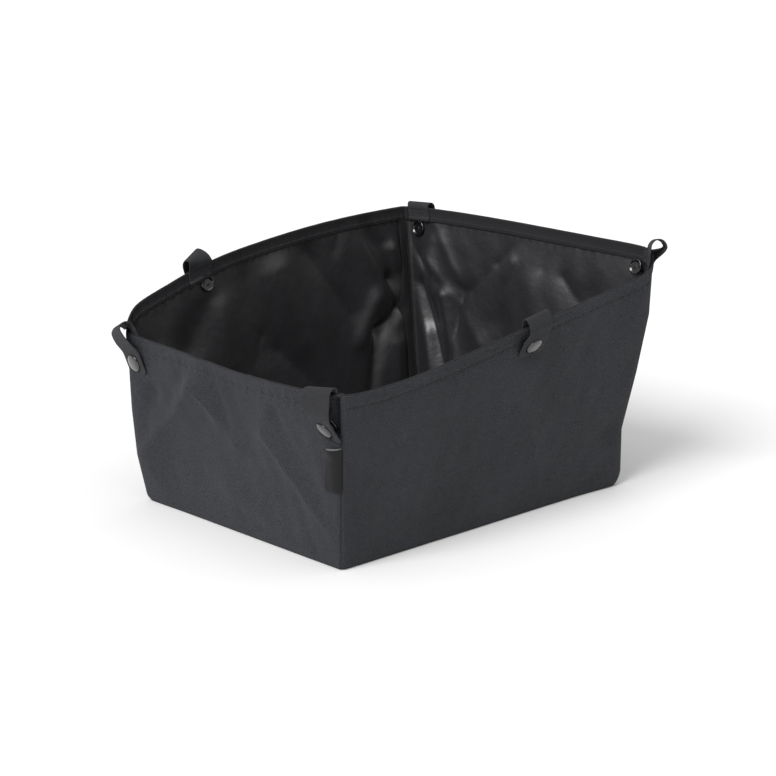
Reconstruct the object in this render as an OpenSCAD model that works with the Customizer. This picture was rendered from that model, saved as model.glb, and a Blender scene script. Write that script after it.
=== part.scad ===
// Soft fabric basket for a handlebar carrier: four sewn walls on a flat base, a taped rim that slopes
// from a low end to a high end, and six strap loops that wrap a rim wire and close with snap fasteners.
// X runs from the low end to the high end, Y from the front wall to the back wall, and Z is up.
// The origin is on the ground, at the centre of the bounding box.

/* [Base] */
// Length of the base
base_l = 320; // [300:2:340]
// Width of the base
base_w = 244; // [230:2:260]

/* [Walls] */
// Thickness of the coated fabric with its seam allowance
fabric_t = 1.2; // [0.8:0.1:1.6]
// How far the low end's front corner leans out at the rim, along X and along Y
low_front_flare = [12, 14]; // [4:1:28]
// How far the low end's back corner leans out at the rim
low_back_flare = [8, 10]; // [4:1:28]
// How far the high end's front corner leans out at the rim
high_front_flare = [19, 19]; // [4:1:28]
// How far the high end's back corner leans out at the rim
high_back_flare = [6, 26]; // [4:1:28]
// Rim height at the low end's front corner
low_front_h = 145; // [135:1:155]
// Rim height at the low end's back corner
low_back_h = 158; // [148:1:168]
// Rim height at the high end's front corner
high_front_h = 201; // [191:1:211]
// Rim height at the high end's back corner
high_back_h = 203; // [195:1:215]
// Sag of the front rim between its corners
front_sag = 14; // [5:1:18]
// Rise of the back rim between its corners
back_rise = 19; // [10:1:22]
// Sag of the low end's rim between its corners
low_sag = 14; // [5:1:18]
// Rise of the high end's rim between its corners
high_rise = 5; // [0:1:8]

/* [Tapes] */
// Height of the tape sewn inside the rim
rim_tape_h = 10; // [9:0.5:11]
// Thickness of the rim tape
rim_tape_t = 0.6; // [0.5:0.1:0.8]
// Width of the binding tape over the corner and base seams
binding_w = 10; // [8:0.5:12]
// Thickness of the folded binding tape
binding_t = 1.4; // [1:0.1:1.8]

/* [Straps] */
// Width of a strap
strap_w = 26; // [22:1:30]
// Thickness of a strap
strap_t = 1; // [0.8:0.1:1.2]
// Inner radius of the loop that holds the rim wire
loop_r = 7.5; // [7:0.1:8]

/* [Snaps] */
// Radius of the snap's outer cap
cap_r = 7.7; // [7.5:0.1:8]
// Radius of the post's button inside the basket
post_r = 7; // [6.5:0.1:7.2]
// Distance from the wall to the closed strap, along the snap's axis
snap_gap = 4; // [3.8:0.1:4.2]

/* [Label] */
// Width of the folded side label
label_w = 18; // [14:1:20]
// Height of the side label
label_h = 33; // [28:1:34]

/* [Hidden] */
$fn = 64;

// One row per strap: its name, its wall, its place along that wall from 0 to 1, how far the loop's centre
// rises over the rim, and how steeply the flap leans in under the loop. On the long walls the place runs
// from the low end to the high end, and on the end walls from front to back.
STRAPS = [
    ["front", "front", 0.58, 7, 58],
    ["back", "back", 0.255, 3.6, 44],
    ["low_front", "low_end", 0.07, 0, 27],
    ["low_back", "low_end", 0.925, 1.8, 30],
    ["high_front", "high_end", 0.057, 3.6, 44],
    ["high_back", "high_end", 0.943, 0.5, 50]
];
WALLS = ["front", "back", "low_end", "high_end"];
SEAMS = [
    ["front_low", "front", 0],
    ["front_high", "front", 1],
    ["back_low", "back", 0],
    ["back_high", "back", 1]
];
STRAP_PIECES = ["strap_root_", "strap_flap_", "snap_cap_", "snap_socket_", "snap_stud_", "snap_post_"];

columns = 28;                          // stretches along each curved rim
arc_steps = 16;                        // stretches along each arc of a strap
seam_gap = 0.2;                        // free gap between pieces that are sewn to a twisted wall
tape_outer = fabric_t + seam_gap;      // depth of a tape's outer face behind the wall's outer face
tape_inner = tape_outer + rim_tape_t;  // depth of the rim tape's inner face
strap_seat = tape_inner + seam_gap;    // depth of the sewn end of a strap
leg_x = -strap_seat - strap_t / 2;     // middle of the strap's sewn leg
mid_r = loop_r + strap_t / 2;          // middle radius of the loop
loop_x = leg_x + mid_r;                // loop's centre, outward from the wall
hinge_gap = 0.15;                      // free gap where a flap starts
flap_bend_r = 3;                       // bend that turns the flap parallel to the wall above its snap
flap_tip = 3;                          // length of a flap below its snap's cap
stud_flange_r = 5.5;
stud_flange_t = 1;
stud_neck_r = 2.9;
stud_head_r = 3.2;
stud_head_t = 1;
stud_h = 2.9;                          // top of the stud, above the wall
socket_r = 6;
socket_h = 2.6;
socket_bore_r = 3.8;
socket_floor = 0.6;                    // socket's floor against the strap
post_button_t = 2.2;
post_dish = 0.7;                       // depth of the dish in the post's button
post_lip = 1.7;                        // width of the raised ring around that dish
through = 30;                          // length of a cut that passes right through
shank_r = 1.5;                         // post's shank through the fabric
cap_edge = 0.9;                        // height of the cap's straight edge
cap_h = 2.5;                           // height of the cap's crown
rivet_r = 1.9;                         // cap's rivet through the strap
rivet_end = 0.55;                      // length of the rivet inside the socket's floor
clear = 0.05;                          // fit between pieces that are sewn or riveted together
label_t = 1.2;
label_top = 100;
label_in = 0.3;                        // label's seam edge, in from the corner seam
binding_share = binding_w / base_l;

function mix(a, b, t) = a + (b - a) * t;

// A bow is 0 at both ends and 1 at its peak. The rims sag or rise along theirs.
function bow(t, peak, power) = 1 - pow(abs(t < peak ? 1 - t / peak : (t - peak) / (1 - peak)), power);
function rim_h(wall, t) =
    wall == "front" ? mix(low_front_h, high_front_h, t) - front_sag * bow(t, 0.8, 6) :
    wall == "back" ? mix(low_back_h, high_back_h, t) + back_rise * bow(t, 0.35, 2) :
    wall == "low_end" ? mix(low_front_h, low_back_h, t) - low_sag * bow(t, 0.85, 3) :
    mix(high_front_h, high_back_h, t) + high_rise * bow(t, 0.2, 4);

// The four corner seams, as [sign along X, sign along Y, lean out along X and along Y, height of the rim].
low_front = [-1, -1, low_front_flare, low_front_h];
low_back = [-1, 1, low_back_flare, low_back_h];
high_front = [1, -1, high_front_flare, high_front_h];
high_back = [1, 1, high_back_flare, high_back_h];
function wall_ends(wall) =
    wall == "front" ? [low_front, high_front] :
    wall == "back" ? [low_back, high_back] :
    wall == "low_end" ? [low_front, low_back] :
    [high_front, high_back];

// A corner seam's point at height z and depth in from the outer faces, and a wall's point at place t.
// Both walls at a corner use the same seam, so they meet on a mitre.
function seam_point(c, z, depth) =
    let (x = base_l / 2 + c[2][0] * z / c[3] - depth, y = base_w / 2 + c[2][1] * z / c[3] - depth)
    [c[0] * x, c[1] * y, z];
function wall_point(wall, t, z, depth) =
    let (ends = wall_ends(wall)) mix(seam_point(ends[0], z, depth), seam_point(ends[1], z, depth), t);

// A wall's level direction to the right as seen from outside, and the way that it faces.
function wall_sense(wall) = wall == "front" || wall == "high_end" ? 1 : -1;
function wall_right(wall, z) =
    let (run = wall_sense(wall) * (wall_point(wall, 1, z, 0) - wall_point(wall, 0, z, 0))) run / norm(run);
function wall_yaw(wall, z) = let (right = wall_right(wall, z)) atan2(-right[0], right[1]);

// How far a wall leans out at place t, and the slope of its rim there.
function wall_lean(wall, t, z) =
    let (rise = wall_point(wall, t, z + 1, 0) - wall_point(wall, t, z, 0), right = wall_right(wall, z))
    atan(rise[0] * right[1] - rise[1] * right[0]);
function rim_roll(wall, t) =
    let (step = strap_w / 2 / base_l, a = t - step, b = t + step)
    let (run = wall_point(wall, b, rim_h(wall, b), 0) - wall_point(wall, a, rim_h(wall, a), 0))
    wall_sense(wall) * atan(run[2] / norm([run[0], run[1]]));

// Where a flap's lower bend is centred, and how far below the rim its snap is. The flap's leaning stretch
// leaves the loop on a tangent and ends at the bend, which holds the snap's gap.
bend_x = snap_gap + strap_t + flap_bend_r;
function bend_drop(lean) =
    (loop_r + strap_t + flap_bend_r - (bend_x - loop_x) * cos(lean)) / sin(lean);
function snap_drop(s) = bend_drop(s[4]) - s[3] + cap_r + clear;

// Points along an arc, as [x, z], from one angle to another.
function arc(centre, r, a0, a1) =
    [for (i = [0:arc_steps]) let (a = mix(a0, a1, i / arc_steps)) centre + r * [cos(a), sin(a)]];

// A post's button lies on the wall, or on the strap's sewn end where it reaches that far up.
function post_depth(s) = snap_drop(s) < rim_tape_h + post_r ? strap_seat + strap_t + seam_gap : tape_outer;

// A closed solid between two depths of a wall, over places t0 to t1. Its foot and its head are each given as
// [height to add, share of the rim's height].
module slab(wall, t0, t1, foot, head, outer, inner) {
    points = [for (t = [t0:(t1 - t0) / columns:t1 + 0.001])
        let (z0 = foot[0] + foot[1] * rim_h(wall, t), z1 = head[0] + head[1] * rim_h(wall, t))
        each [wall_point(wall, t, z0, outer), wall_point(wall, t, z1, outer),
              wall_point(wall, t, z1, inner), wall_point(wall, t, z0, inner)]];
    last = 4 * columns;
    skin = [for (i = [0:columns - 1], k = [0:3])
        let (a = 4 * i + k, b = 4 * i + (k + 1) % 4) each [[a, b, b + 4], [a, b + 4, a + 4]]];
    ends = [[3, 2, 1], [3, 1, 0], [last, last + 1, last + 2], [last, last + 2, last + 3]];
    faces = concat(skin, ends);
    polyhedron(points, wall_sense(wall) == 1 ? faces : [for (f = faces) [f[2], f[1], f[0]]]);
}

// Puts its children in a strap's frame: x outward from the wall, y along the rim, z up the wall, and the
// origin on the rim's outer edge.
module at_strap(s) {
    z = rim_h(s[1], s[2]);
    translate(wall_point(s[1], s[2], z, 0))
        rotate([0, 0, wall_yaw(s[1], z)])
            rotate([0, wall_lean(s[1], s[2], z), 0])
                rotate([rim_roll(s[1], s[2]), 0, 0])
                    children();
}

// Puts its children on a strap's snap axis: z straight out from the wall, and the origin on its outer face.
module at_snap(s) {
    at_strap(s)
        translate([0, 0, -snap_drop(s)])
            rotate([0, 90, 0])
                children();
}

// A strap's solid from its outer and inner edge lines, drawn in the strap frame's x and z.
module strap_strip(outer, inner) {
    rotate([90, 0, 0])
        linear_extrude(strap_w, center = true)
            polygon(concat(outer, [for (i = [len(inner) - 1:-1:0]) inner[i]]));
}

module wall_panel(wall) {
    color([0.2, 0.2, 0.215])
        difference() {
            slab(wall, 0, 1, [fabric_t, 0], [0, 1], 0, fabric_t);
            for (s = STRAPS)
                if (s[1] == wall)
                    at_snap(s)
                        cylinder(r = shank_r + clear, h = through, center = true);
        }
}

module base_panel() {
    color([0.2, 0.2, 0.215])
        translate([-base_l / 2, -base_w / 2, 0])
            cube([base_l, base_w, fabric_t]);
}

module rim_tape() {
    color([0.09, 0.09, 0.095])
        for (wall = WALLS)
            slab(wall, 0, 1, [-rim_tape_h, 1], [0, 1], tape_outer, tape_inner);
}

module base_binding() {
    color([0.09, 0.09, 0.095])
        for (wall = WALLS)
            slab(wall, 0, 1, [fabric_t, 0], [fabric_t + binding_t, 0], tape_outer, fabric_t + binding_w);
}

module corner_binding(seam) {
    t0 = seam[2] == 0 ? 0 : 1 - binding_share;
    color([0.09, 0.09, 0.095])
        slab(seam[1], t0, t0 + binding_share, [fabric_t + binding_t + clear, 0], [-rim_tape_h - clear, 1],
             tape_outer, tape_outer + binding_t);
}

module side_label() {
    z = label_top - label_h;
    corner = seam_point(low_front, z, 0);
    color([0.05, 0.05, 0.055])
        translate(corner)
            rotate([0, 0, wall_yaw("low_end", z)])
                rotate([0, wall_lean("low_end", 0, z), 0])
                    translate([0.02, -label_w - label_in, 0])
                        cube([label_t, label_w, label_h]);
}

module strap_root(s) {
    function edge(r) = concat([[loop_x - r, -rim_tape_h]], arc([loop_x, s[3]], r, 180, 90));
    color([0.13, 0.13, 0.14])
        at_strap(s)
            strap_strip(edge(loop_r + strap_t), edge(loop_r));
}

module strap_flap(s) {
    lean = s[4];
    bend = [bend_x, s[3] - bend_drop(lean)];
    end_z = bend[1] - 2 * (cap_r + clear) - flap_tip;
    function edge(r, bend_r) = concat(arc([loop_x, s[3]], r, 90 - hinge_gap / mid_r * 180 / PI, -lean),
                                      arc(bend, bend_r, 180 - lean, 180), [[bend_x - bend_r, end_z]]);
    color([0.13, 0.13, 0.14])
        difference() {
            at_strap(s)
                strap_strip(edge(loop_r + strap_t, flap_bend_r), edge(loop_r, flap_bend_r + strap_t));
            at_snap(s)
                cylinder(r = rivet_r + clear, h = through, center = true);
        }
}

module snap_cap(s) {
    color([0.03, 0.03, 0.035])
        at_snap(s)
            translate([0, 0, snap_gap + strap_t]) {
                rotate_extrude()
                    polygon([[0, 0], [cap_r, 0], [cap_r, cap_edge], [cap_r - 0.7, cap_edge + 0.8],
                             [cap_r - 2.7, cap_edge + 1.3], [0, cap_h]]);
                translate([0, 0, -strap_t - rivet_end])
                    cylinder(r = rivet_r, h = strap_t + rivet_end + clear);
            }
}

module snap_socket(s) {
    color([0.03, 0.03, 0.035])
        at_snap(s)
            translate([0, 0, snap_gap - socket_h])
                difference() {
                    cylinder(r = socket_r, h = socket_h);
                    translate([0, 0, -socket_floor])
                        cylinder(r = socket_bore_r, h = socket_h);
                    cylinder(r = rivet_r + clear, h = through);
                }
}

module snap_stud(s) {
    color([0.03, 0.03, 0.035])
        at_snap(s)
            difference() {
                union() {
                    translate([0, 0, seam_gap])
                        cylinder(r = stud_flange_r, h = stud_flange_t);
                    translate([0, 0, stud_flange_t])
                        cylinder(r = stud_neck_r, h = stud_h - stud_flange_t);
                    translate([0, 0, stud_h - stud_head_t])
                        cylinder(r = stud_head_r, h = stud_head_t);
                }
                cylinder(r = shank_r + clear, h = through, center = true);
            }
}

module snap_post(s) {
    depth = post_depth(s);
    color([0.03, 0.03, 0.035])
        at_snap(s)
            translate([0, 0, -depth - post_button_t]) {
                difference() {
                    cylinder(r = post_r, h = post_button_t);
                    translate([0, 0, -post_dish])
                        cylinder(r = post_r - post_lip, h = 2 * post_dish);
                }
                translate([0, 0, post_button_t - clear])
                    cylinder(r = shank_r, h = depth + stud_h);
            }
}

for (wall = WALLS)
    wall_panel(wall);
base_panel();
rim_tape();
base_binding();
side_label();
for (seam = SEAMS)
    corner_binding(seam);
for (s = STRAPS) {
    strap_root(s);
    strap_flap(s);
    snap_cap(s);
    snap_socket(s);
    snap_stud(s);
    snap_post(s);
}
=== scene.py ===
import math

import bmesh
import bpy
import numpy as np
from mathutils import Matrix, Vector


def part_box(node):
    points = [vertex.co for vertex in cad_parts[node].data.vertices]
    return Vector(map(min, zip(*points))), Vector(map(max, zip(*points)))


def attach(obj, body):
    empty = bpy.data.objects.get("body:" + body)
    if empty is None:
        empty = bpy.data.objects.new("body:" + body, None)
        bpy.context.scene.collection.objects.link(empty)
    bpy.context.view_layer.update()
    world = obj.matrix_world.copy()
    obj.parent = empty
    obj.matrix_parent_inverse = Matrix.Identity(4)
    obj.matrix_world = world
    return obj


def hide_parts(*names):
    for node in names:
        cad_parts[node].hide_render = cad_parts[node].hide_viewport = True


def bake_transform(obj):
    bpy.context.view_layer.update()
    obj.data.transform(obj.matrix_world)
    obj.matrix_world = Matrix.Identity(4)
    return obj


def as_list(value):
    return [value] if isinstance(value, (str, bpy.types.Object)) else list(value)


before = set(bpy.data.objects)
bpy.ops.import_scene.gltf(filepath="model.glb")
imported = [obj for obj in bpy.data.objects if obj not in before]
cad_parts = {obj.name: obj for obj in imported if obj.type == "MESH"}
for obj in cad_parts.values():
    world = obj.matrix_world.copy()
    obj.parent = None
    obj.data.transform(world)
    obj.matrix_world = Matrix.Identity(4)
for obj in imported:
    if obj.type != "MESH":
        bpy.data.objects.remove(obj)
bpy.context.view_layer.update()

# A soft fabric basket: four sewn walls on a flat base, a taped rim, and six strap loops with snaps.
# Lengths below are in millimetres and are turned into metres when a mesh is made.
MM = 0.001
UPRIGHT = np.array([0, 0, 1.0])
CYCLE = 6.28          # radians in one wave
CLOTH = 1.1           # thickness of the coated fabric
CUT_SPARE = 12.0      # seam allowance in a panel's cut length and height
HEM = 10.0            # height of the hem over its stitch line
FINE_ROWS = 16.0      # the wall's mesh is finer within this distance of the rim
PLAIN_ROWS = 78       # rows of the wall's mesh below that

base_low, base_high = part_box("base_panel")
BASE_L = (base_high.x - base_low.x) / MM
BASE_W = (base_high.y - base_low.y) / MM

# Each corner seam: its side, how far it flares out at the rim, the rim's height there, the length of wall
# that turns the corner at the base and at the rim, how far its foot rounds up off the ground, and how far it
# bulges out at five even heights.
CORNERS = {
    "low_front": {"side": (-1, -1), "flare": (12, 14), "rim": 145, "turn": (5, 14), "foot": 4,
                  "bulge": (0, 0.5, 1, 2, 2)},
    "low_back": {"side": (-1, 1), "flare": (8, 10), "rim": 158, "turn": (9, 18), "foot": 6,
                 "bulge": (2, 8, 9, 8, 7)},
    "high_front": {"side": (1, -1), "flare": (19, 19), "rim": 201, "turn": (14, 20), "foot": 15,
                   "bulge": (7, 1, 6, 9, 5)},
    "high_back": {"side": (1, 1), "flare": (6, 26), "rim": 203, "turn": (5, 9), "foot": 6,
                  "bulge": (0, 1, 2, 2, 2)},
}
BULGE_REACH = 30.0                # how far along a wall its corner's bulge and pulls are felt
RIM_DIPS = {"low_back": 8.0}      # how far a strap pulls a corner of the rim down
DIP_REACH = 13.0
# Each wall: its two corner seams, whether its places run to the right as seen from outside, and its rim's
# bow as (amount, peak, power).
WALLS = {
    "front": {"ends": ("low_front", "high_front"), "sense": 1, "bow": (-14, 0.8, 6)},
    "high_end": {"ends": ("high_front", "high_back"), "sense": 1, "bow": (5, 0.2, 4)},
    "back": {"ends": ("low_back", "high_back"), "sense": -1, "bow": (19, 0.35, 2)},
    "low_end": {"ends": ("low_front", "low_back"), "sense": -1, "bow": (-14, 0.85, 3)},
}

# Folds in each wall as (place, height) to (place, height), how far they stand out, their width, and whether
# they have a sharp ridge. A negative amount is a valley as seen from outside.
FOLDS = {
    "low_end": [
        ((0.66, 119), (0.97, 40), 9.5, 14, True),
        ((0.66, 119), (0.48, 78), 8.5, 9, True),
        ((0.60, 133), (0.52, 89), -4.0, 7, False),
        ((0.44, 140), (0.33, 119), 3.0, 4.5, True),
        ((0.41, 136), (0.35, 122), -2.2, 3.5, False),
        ((0.52, 139), (0.37, 127), 2.8, 4.5, True),
        ((0.72, 132), (0.82, 88), -4.2, 9, False),
        ((0.34, 95), (0.04, 28), 8.0, 8, True),
        ((0.30, 108), (0.10, 52), -3.6, 8, False),
        ((0.26, 128), (0.18, 110), 2.4, 4.5, True),
        ((0.55, 40), (0.30, 14), 3.0, 10, False),
        ((0.88, 100), (0.93, 60), -3.4, 8, False),
    ],
    "front": [
        ((0.24, 118), (0.25, 60), 2.4, 20, False),
        ((0.48, 120), (0.48, 70), -2.0, 13, False),
        ((0.62, 74), (0.69, 10), 3.0, 7, True),
        ((0.58, 110), (0.60, 76), 1.8, 13, False),
        ((0.92, 48), (0.99, 44), -4.2, 12, False),
        ((0.81, 150), (0.79, 108), -2.2, 13, False),
        ((0.94, 165), (0.90, 120), 2.6, 11, False),
        ((0.33, 24), (0.14, 10), -2.0, 11, False),
        ((0.05, 100), (0.07, 40), 1.6, 9, False),
        ((0.86, 24), (0.74, 8), 2.4, 9, False),
    ],
    "back": [
        ((0.38, 188), (0.46, 104), 4.5, 11, True),
        ((0.50, 170), (0.56, 104), -5.0, 14, False),
        ((0.62, 182), (0.76, 116), 5.0, 11, True),
        ((0.84, 195), (0.93, 140), 6.0, 8, False),
        ((0.93, 140), (0.955, 112), 7.0, 7, False),
        ((0.955, 112), (0.87, 96), 8.5, 7, False),
        ((0.87, 96), (0.82, 40), 9.0, 8, False),
        ((0.93, 168), (0.98, 130), -5.0, 6, False),
        ((0.86, 126), (0.79, 92), -5.0, 9, False),
        ((0.93, 80), (0.92, 36), -5.0, 9, False),
        ((0.50, 98), (0.62, 60), 4.5, 12, True),
        ((0.44, 115), (0.41, 92), 2.8, 8, True),
        ((0.19, 120), (0.27, 158), 5.0, 15, False),
        ((0.30, 150), (0.33, 100), -4.0, 11, False),
        ((0.74, 196), (0.72, 178), 2.2, 6, False),
        ((0.10, 110), (0.12, 60), -3.4, 16, False),
    ],
    "high_end": [
        ((0.99, 172), (0.91, 146), 6.0, 4.5, False),
        ((0.955, 132), (0.87, 62), 8.5, 7, False),
        ((0.89, 176), (0.90, 130), -5.0, 8, False),
        ((0.86, 190), (0.76, 141), -4.5, 8, True),
        ((0.76, 136), (0.84, 60), 8.0, 7, True),
        ((0.84, 128), (0.80, 50), -6.0, 7, False),
        ((0.93, 90), (0.93, 40), -5.0, 7, False),
        ((0.72, 138), (0.61, 167), 2.6, 4, True),
        ((0.61, 167), (0.52, 190), 2.6, 4, True),
        ((0.54, 172), (0.57, 158), -2.4, 5, False),
        ((0.42, 170), (0.37, 196), 2.6, 4, True),
        ((0.34, 166), (0.27, 147), 3.2, 6, True),
        ((0.90, 160), (0.68, 92), -4.0, 10, True),
        ((0.45, 150), (0.40, 70), -3.6, 24, False),
        ((0.22, 150), (0.20, 60), 3.2, 18, False),
        ((0.60, 110), (0.55, 50), 3.0, 16, False),
    ],
}

# Beside the low front seam, under its strap, the end wall tucks in and the front wall's edge stands proud:
# how far, where from the seam, and how wide.
TUCK = (8.0, 6.0, 4.2)
LIP = (1.0, 4.0, 2.2)
# Puckers along the hem, as waves: amount, length, how far the wave wanders, and over what length.
PUCKERS = ((0.42, 8.7, 1.7, 23), (0.24, 5.3, 2, 31))

# Each strap: its wall and place, how far its snap is below the rim, how far to its right (as seen from
# outside) it crosses the rim, the level at which its loop is widest, how far out and how high the loop
# reaches, how far its cap faces down, how far the strap turns towards its right over the loop and at the
# snap, and how far it is rolled at the snap and over the loop. All but the wall and place are millimetres
# and degrees.
STRAP_FACTS = ("wall", "place", "drop", "shift", "widest", "out", "top", "down", "turn", "snap_turn", "roll",
               "loop_roll")
STRAP_ROWS = {
    "front": ("front", 0.58, 14.5, 7, -2, 6.6, 9, 28, 0, -6, 0, 0),
    "back": ("back", 0.255, 17.9, 3, 3.2, 11.5, 10.5, 10, 24, 0, 0, 0),
    "low_front": ("low_end", 0.07, 27.8, 0, -2, 9.8, 5.6, 27, 18, -5, 0, 0),
    "low_back": ("low_end", 0.925, 24.3, -13, 0, 10.0, 7.0, 12, 0, -6, 30, 50),
    "high_front": ("high_end", 0.057, 17.9, -14, 4.5, 11, 12.5, 8, 0, -6, 0, -56),
    "high_back": ("high_end", 0.943, 20.0, 0, -1, 6.5, 4.6, 10, 6, 0, 0, 0),
}
STRAPS = {key: dict(zip(STRAP_FACTS, row)) for key, row in STRAP_ROWS.items()}
STRAP_W = 26.0
STRAP_T = 1.0
LEG = 11.0            # length of a strap's sewn end below the rim
LEG_X = -2.55         # middle of the sewn end behind the wall's outer face, before the wall's folds
LEG_DEPTH = 2.58      # and behind the folded wall
LEG_STITCHES = (2.6, 9.4)         # drops of the two rows of thread across it
THREAD_DEPTHS = (3.1, 2.1)        # of the thread, and of a point under it
SNAP_GAP = 4.0        # between a wall and its closed strap
CAP_R = 7.7
TIP = 10.6            # strap below the snap's centre
TIP_ROUND = 1.6       # how far the tip's corners are rounded in, over its last TIP_REACH
TIP_REACH = 2.0
BEND_LEAST = 3.0      # shortest length over which a strap bends


def unit(v):
    return v / np.maximum(np.linalg.norm(v, axis=-1, keepdims=True), 1e-9)


def mix(a, b, t):
    return a + (b - a) * t


def ease(x, low, high):
    t = np.clip((x - low) / (high - low), 0, 1)
    return t * t * (3 - 2 * t)


# ---------------------------------------------------------------- the sewn walls as a surface

def plain_rim(wall, t):
    """Height of a wall's rim at place t, before any strap pulls on it."""
    a, b = WALLS[wall]["ends"]
    amount, peak, power = WALLS[wall]["bow"]
    side = np.where(t < peak, 1 - t / peak, (t - peak) / (1 - peak))
    return mix(CORNERS[a]["rim"], CORNERS[b]["rim"], t) + amount * (1 - np.abs(side) ** power)


def rim(wall, t):
    """Height of a wall's rim at place t."""
    height = plain_rim(wall, t)
    for name, gap in zip(WALLS[wall]["ends"], (t, 1 - t)):
        height = height - RIM_DIPS.get(name, 0) * np.exp(-(gap * LENGTH[wall] / DIP_REACH) ** 2)
    return height


def corner_at(name, z):
    """Where a corner's two walls would meet if it were sharp."""
    corner = CORNERS[name]
    share = z / corner["rim"]
    return np.stack([corner["side"][0] * (BASE_L / 2 + corner["flare"][0] * share),
                     corner["side"][1] * (BASE_W / 2 + corner["flare"][1] * share)], -1)


def beyond(wall, corner):
    """The far corner of the other wall that meets this one at a corner."""
    for other, facts in WALLS.items():
        if other != wall and corner in facts["ends"]:
            return [c for c in facts["ends"] if c != corner][0]


def length_of(wall):
    a, b = (corner_at(c, np.array(60.0)) for c in WALLS[wall]["ends"])
    return float(np.linalg.norm(b - a))


LENGTH = {wall: length_of(wall) for wall in WALLS}


def smooth_wall(wall, t, z):
    """A wall's outer face without folds. Both walls at a corner meet in the middle of its turn."""
    names = WALLS[wall]["ends"]
    a, b = corner_at(names[0], z), corner_at(names[1], z)
    run = np.linalg.norm(b - a, axis=-1)
    along = (b - a) / run[..., None]
    point = a + along * (t * run)[..., None]
    for name, sharp, inward, gap in ((names[0], a, along, t * run), (names[1], b, -along, (1 - t) * run)):
        corner = CORNERS[name]
        share = np.clip(z / corner["rim"], 0, 1)
        turn = mix(corner["turn"][0], corner["turn"][1], share)
        other = unit(corner_at(beyond(wall, name), z) - sharp)
        q = (0.5 + 0.5 * np.clip(gap / turn, 0, 1))[..., None]
        r = turn[..., None]
        curve = (1 - q) ** 2 * (sharp + other * r) + 2 * q * (1 - q) * sharp + q ** 2 * (sharp + inward * r)
        point = np.where((gap < turn)[..., None], curve, point)
        bulge = np.interp(share, np.linspace(0, 1, 5), corner["bulge"]) * np.exp(-(gap / BULGE_REACH) ** 2)
        point = point + bulge[..., None] * np.array(corner["side"]) * math.sqrt(0.5)
    return np.concatenate([point, z[..., None]], -1)


def facing(wall, t, z, surface):
    """The outward direction of a surface over a wall."""
    dt, dz = 0.35 / LENGTH[wall], 0.35
    across = surface(wall, np.clip(t + dt, 0, 1), z) - surface(wall, np.clip(t - dt, 0, 1), z)
    up = surface(wall, t, z + dz) - surface(wall, t, z - dz)
    return unit(np.cross(across, up)) * WALLS[wall]["sense"]


def strap_frame(strap):
    """The strap's origin on the rim, and its outward, rightward and upward directions."""
    wall, place = strap["wall"], np.array(strap["place"])
    sense = WALLS[wall]["sense"]
    z = plain_rim(wall, place)
    names = WALLS[wall]["ends"]

    def plain(t, height):
        a, b = (np.append(corner_at(n, np.array(float(height))), height) for n in names)
        return mix(a, b, t)

    step = STRAP_W / 2 / BASE_L
    origin = plain(place, z)
    run = unit(sense * (plain(1, z) - plain(0, z)))
    level_out = np.array([run[1], -run[0], 0])
    lean = math.atan(float((plain(place, z + 1) - plain(place, z)) @ level_out))
    behind, ahead = (plain(t, plain_rim(wall, t)) for t in (place - step, place + step))
    edge = ahead - behind
    roll = sense * math.atan2(edge[2], math.hypot(edge[0], edge[1]))
    out = math.cos(lean) * level_out - math.sin(lean) * UPRIGHT
    tall = math.sin(lean) * level_out + math.cos(lean) * UPRIGHT
    right = math.cos(roll) * run + math.sin(roll) * tall
    return origin, out, right, -math.sin(roll) * run + math.cos(roll) * tall


SNAP_AT = {}          # each snap's centre on its wall, as (distance along the wall, height)
for key, strap in STRAPS.items():
    origin, out, right, up = strap_frame(strap)
    snap = origin - up * strap["drop"]
    run = (right[0] * (snap - origin)[0] + right[1] * (snap - origin)[1]) * WALLS[strap["wall"]]["sense"]
    SNAP_AT[key] = (strap["place"] * LENGTH[strap["wall"]] + run, float(snap[2]))


def fold_height(s, z, fold, length):
    (t0, z0), (t1, z1), amount, width, sharp = fold
    start, end = np.array([t0 * length, z0]), np.array([t1 * length, z1])
    line = end - start
    share = np.clip(((s - start[0]) * line[0] + (z - start[1]) * line[1]) / (line @ line), 0, 1)
    off = np.hypot(s - start[0] - share * line[0], z - start[1] - share * line[1])
    fade = 1 - 0.45 * share
    if sharp:
        return amount * fade * np.exp(-np.sqrt(off ** 2 + 1.5) / width)
    return amount * fade * np.exp(-(off / width) ** 2)


waves = np.random.RandomState(7)
RIPPLES = {wall: [(waves.uniform(0.012, 0.05), waves.uniform(-0.03, 0.03), waves.uniform(0, CYCLE),
                   waves.uniform(0.04, 0.16)) for _ in range(9)] for wall in WALLS}


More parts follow.
